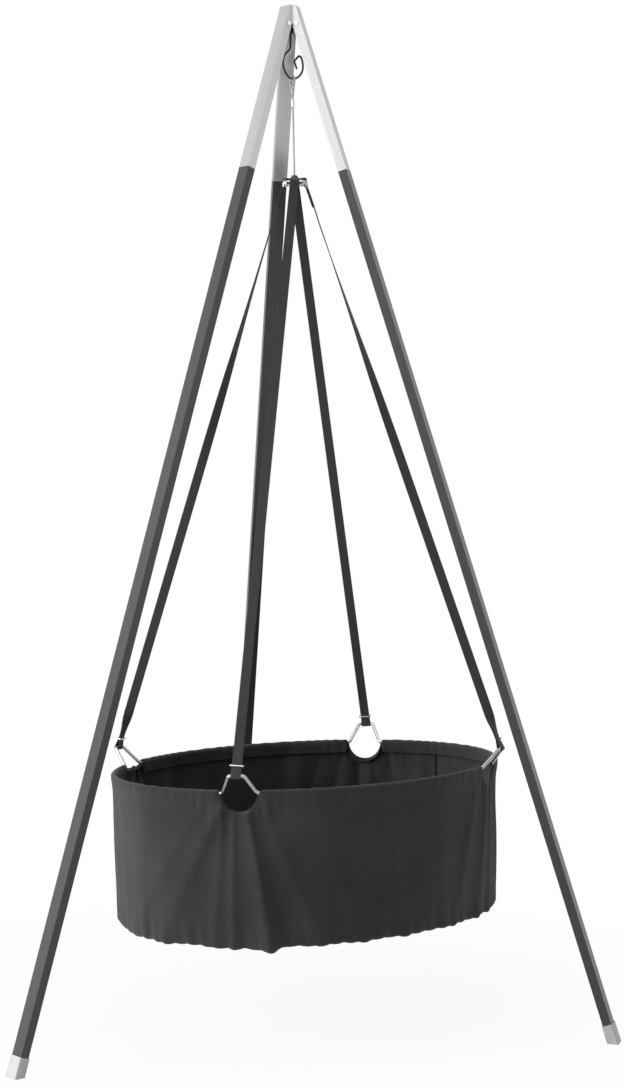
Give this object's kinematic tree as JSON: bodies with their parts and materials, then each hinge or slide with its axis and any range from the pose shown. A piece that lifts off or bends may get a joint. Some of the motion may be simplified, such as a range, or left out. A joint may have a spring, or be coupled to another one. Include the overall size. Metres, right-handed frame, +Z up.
{
  "type": "hanging cradle",
  "caption": "oval cloth basket with mattress, hung on webbing straps from a pigtail hook under a folding three-legged stand of aluminium bars and dark wooden poles",
  "frame": {"origin": "middle of the floor area that the three feet cover, on the floor", "axes": "+Z up, +Y towards the rear leg, the open front with the other two legs faces -Y, +X to the right of someone looking along +Y"},
  "size_m": [1.0812, 0.937, 1.85],
  "materials": {
    "brushed_bar": "satin, drawn along its length",
    "stained_pole": "black stain under a satin varnish",
    "foot_plastic": "light grey, fine moulded grain",
    "black_steel": "black powder coat",
    "bright_fastener": "zinc plated",
    "hook_wire": "black coat",
    "cable_steel": "stranded wire",
    "eye_steel": "pressed",
    "cap_plastic": "black, slightly rough",
    "plate_steel": "ground",
    "ring_steel": "drawn wire",
    "webbing": "woven ribbed webbing",
    "keeper_wire": "polished wire",
    "rim_steel": "drawn rod",
    "basket_cloth": "anthracite canvas",
    "board_wood": "thin plywood",
    "mattress_cloth": "anthracite jersey cover"
  },
  "bodies": {
    "stand_head": {"hub": "black_steel", "pigtail_hook": "hook_wire", "hook_nut": "black_steel"},
    "left_leg": {"left_bar": "brushed_bar", "left_pole": "stained_pole", "left_foot_cap": "foot_plastic", "left_fold_bolt": "bright_fastener", "left_bolt_nut": "bright_fastener", "left_bar_screw": "bright_fastener"},
    "right_leg": {"right_bar": "brushed_bar", "right_pole": "stained_pole", "right_foot_cap": "foot_plastic", "right_fold_bolt": "bright_fastener", "right_bolt_nut": "bright_fastener", "right_bar_screw": "bright_fastener"},
    "rear_leg": {"rear_bar": "brushed_bar", "rear_pole": "stained_pole", "rear_foot_cap": "foot_plastic", "rear_fold_bolt": "bright_fastener", "rear_bolt_nut": "bright_fastener", "rear_bar_screw": "bright_fastener"},
    "hanger": {"thimble": "eye_steel", "cable": "cable_steel", "cable_ferrule": "eye_steel"},
    "swivel_ball": {"cable_ball": "eye_steel"},
    "cradle": {"spreader_cap": "cap_plastic", "spreader_plate": "plate_steel", "spreader_ring": "ring_steel", "basket": "basket_cloth", "base_board": "board_wood", "mattress": "mattress_cloth", "right_link": "rim_steel", "right_strap": "webbing", "right_keeper": "keeper_wire", "back_link": "rim_steel", "back_strap": "webbing", "back_keeper": "keeper_wire", "left_link": "rim_steel", "left_strap": "webbing", "left_keeper": "keeper_wire", "front_link": "rim_steel", "front_strap": "webbing", "front_keeper": "keeper_wire", "right_back_rim_rod": "rim_steel", "back_left_rim_rod": "rim_steel", "left_front_rim_rod": "rim_steel", "front_right_rim_rod": "rim_steel"}
  },
  "joints": [
    {"name": "left_leg_fold", "type": "hinge", "parent": "stand_head", "child": "left_leg", "pos_m": [-0.0139, -0.15568, 1.816], "axis": [0.5, -0.866, 0], "range_deg": [0, 2.5]},
    {"name": "right_leg_fold", "type": "hinge", "parent": "stand_head", "child": "right_leg", "pos_m": [0.0139, -0.15568, 1.816], "axis": [0.5, 0.866, 0], "range_deg": [0, 3]},
    {"name": "rear_leg_fold", "type": "hinge", "parent": "stand_head", "child": "rear_leg", "pos_m": [0, -0.13161, 1.816], "axis": [-1, 0, 0], "range_deg": [0, 3]},
    {"name": "cradle_swing", "type": "hinge", "parent": "stand_head", "child": "hanger", "pos_m": [0.00386, -0.14662, 1.7204], "axis": [0.9659, 0.2588, 0], "range_deg": [-2.5, 2.5]},
    {"name": "cradle_turn", "type": "hinge", "parent": "hanger", "child": "swivel_ball", "pos_m": [0.00836, -0.1475, 1.52315], "axis": [0.0228, -0.0044, -0.9997], "range_deg": [-12, 12]},
    {"name": "cradle_sway", "type": "hinge", "parent": "swivel_ball", "child": "cradle", "pos_m": [0.00836, -0.1475, 1.52315], "axis": [0.2588, -0.9659, 0], "range_deg": [-2.5, 2.5]}
  ]
}
